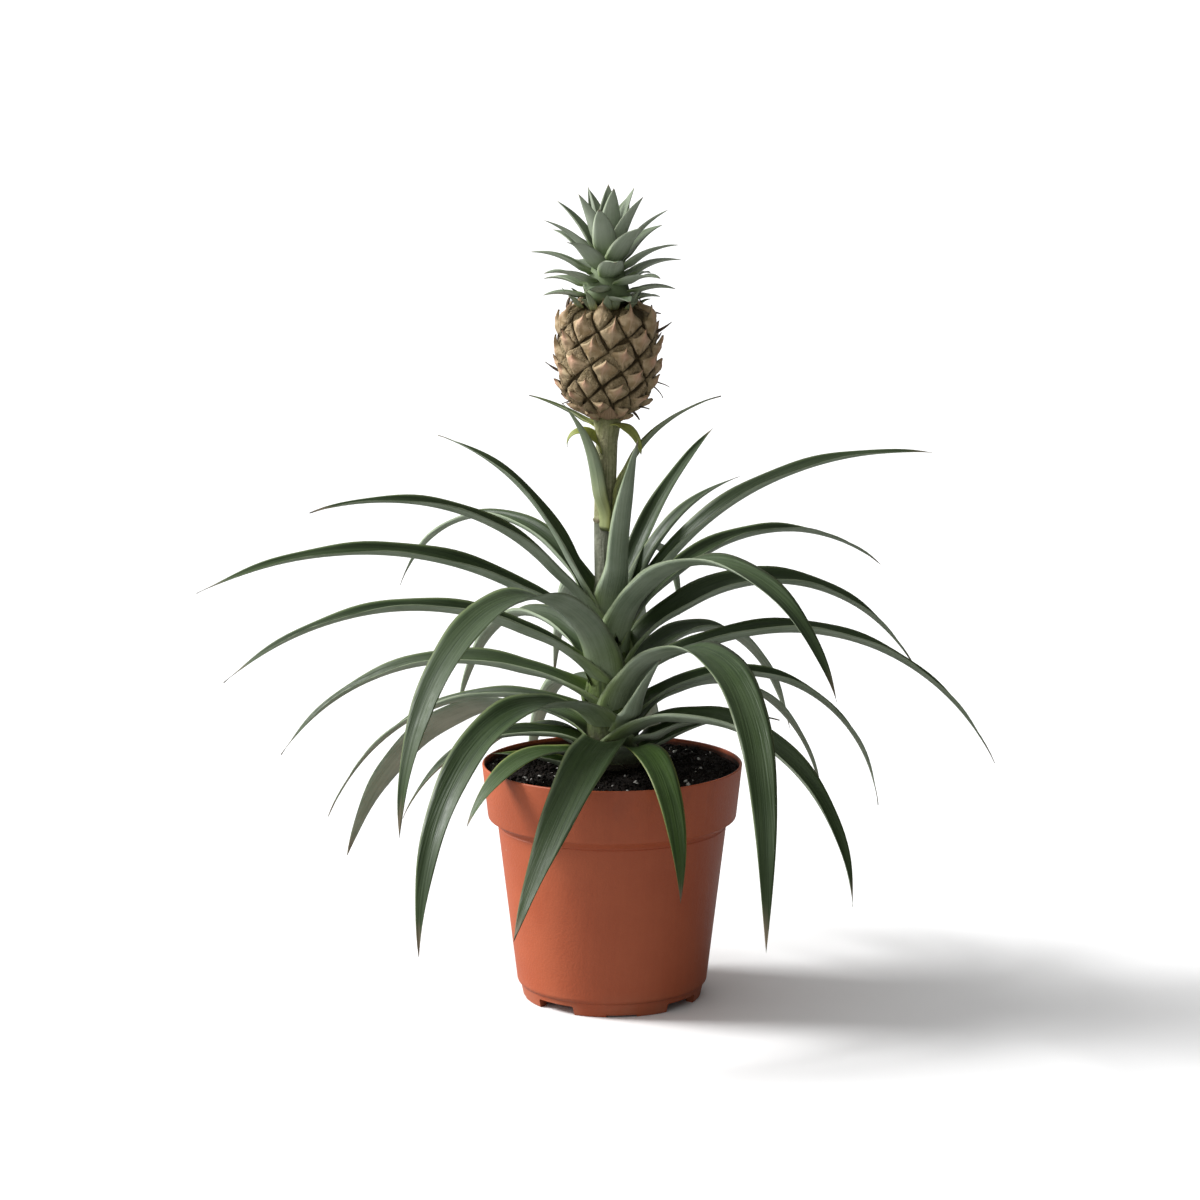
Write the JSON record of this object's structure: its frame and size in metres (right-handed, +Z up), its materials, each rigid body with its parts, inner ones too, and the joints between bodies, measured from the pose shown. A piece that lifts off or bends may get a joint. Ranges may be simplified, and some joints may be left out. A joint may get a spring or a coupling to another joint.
{
  "type": "potted pineapple plant",
  "caption": "Ornamental pineapple plant with a small crowned fruit above a rosette of arching strap leaves, in a moulded plastic nursery pot.",
  "frame": {"origin": "centre of the circle the pot's feet stand on", "axes": "+Z up along the plant; -Y towards the viewer of the plant's front; +X to the right from the front"},
  "size_m": [0.3701, 0.338, 0.3768],
  "materials": {
    "pot_plastic": "injection-moulded terracotta-coloured plastic, satin, faint specks and scuffs",
    "potting_soil": "loose dark peat-based potting soil with pale perlite grains",
    "peduncle": "firm ribbed stalk, grey-green with a pale green node, slight bloom",
    "leaf": "satin dark green upper face, pale grey bloom in fine lines on the underside",
    "bract": "soft satin leaf tissue, yellow-green at the foot",
    "fruit_rind": "matte tan fruitlets with dry papery pinkish bracts and dark creases",
    "crown_leaf": "satin sage green with a pale bloom"
  },
  "bodies": {
    "root": {"pot": "pot_plastic", "soil": "potting_soil", "stem": "peduncle", "leaf_01": "leaf", "leaf_02": "leaf", "leaf_03": "leaf", "leaf_04": "leaf", "leaf_05": "leaf", "leaf_06": "leaf", "leaf_07": "leaf", "leaf_08": "leaf", "leaf_09": "leaf", "leaf_10": "leaf", "leaf_11": "leaf", "leaf_12": "leaf", "leaf_13": "leaf", "leaf_14": "leaf", "leaf_15": "leaf", "leaf_16": "leaf", "leaf_17": "leaf", "leaf_18": "leaf", "leaf_19": "leaf", "leaf_20": "leaf", "leaf_21": "leaf", "leaf_22": "leaf", "leaf_23": "leaf", "leaf_24": "leaf", "leaf_25": "leaf", "leaf_26": "leaf", "leaf_27": "leaf", "leaf_28": "leaf", "leaf_29": "leaf", "leaf_30": "leaf", "leaf_31": "leaf", "leaf_32": "leaf", "leaf_33": "leaf", "leaf_34": "leaf", "leaf_35": "leaf", "leaf_36": "leaf", "leaf_37": "leaf", "leaf_38": "leaf", "leaf_39": "leaf", "leaf_40": "leaf", "leaf_41": "leaf", "bract_1": "bract", "bract_2": "bract", "bract_3": "bract", "bract_4": "bract", "bract_5": "bract", "fruit": "fruit_rind", "crown": "crown_leaf"}
  },
  "joints": []
}
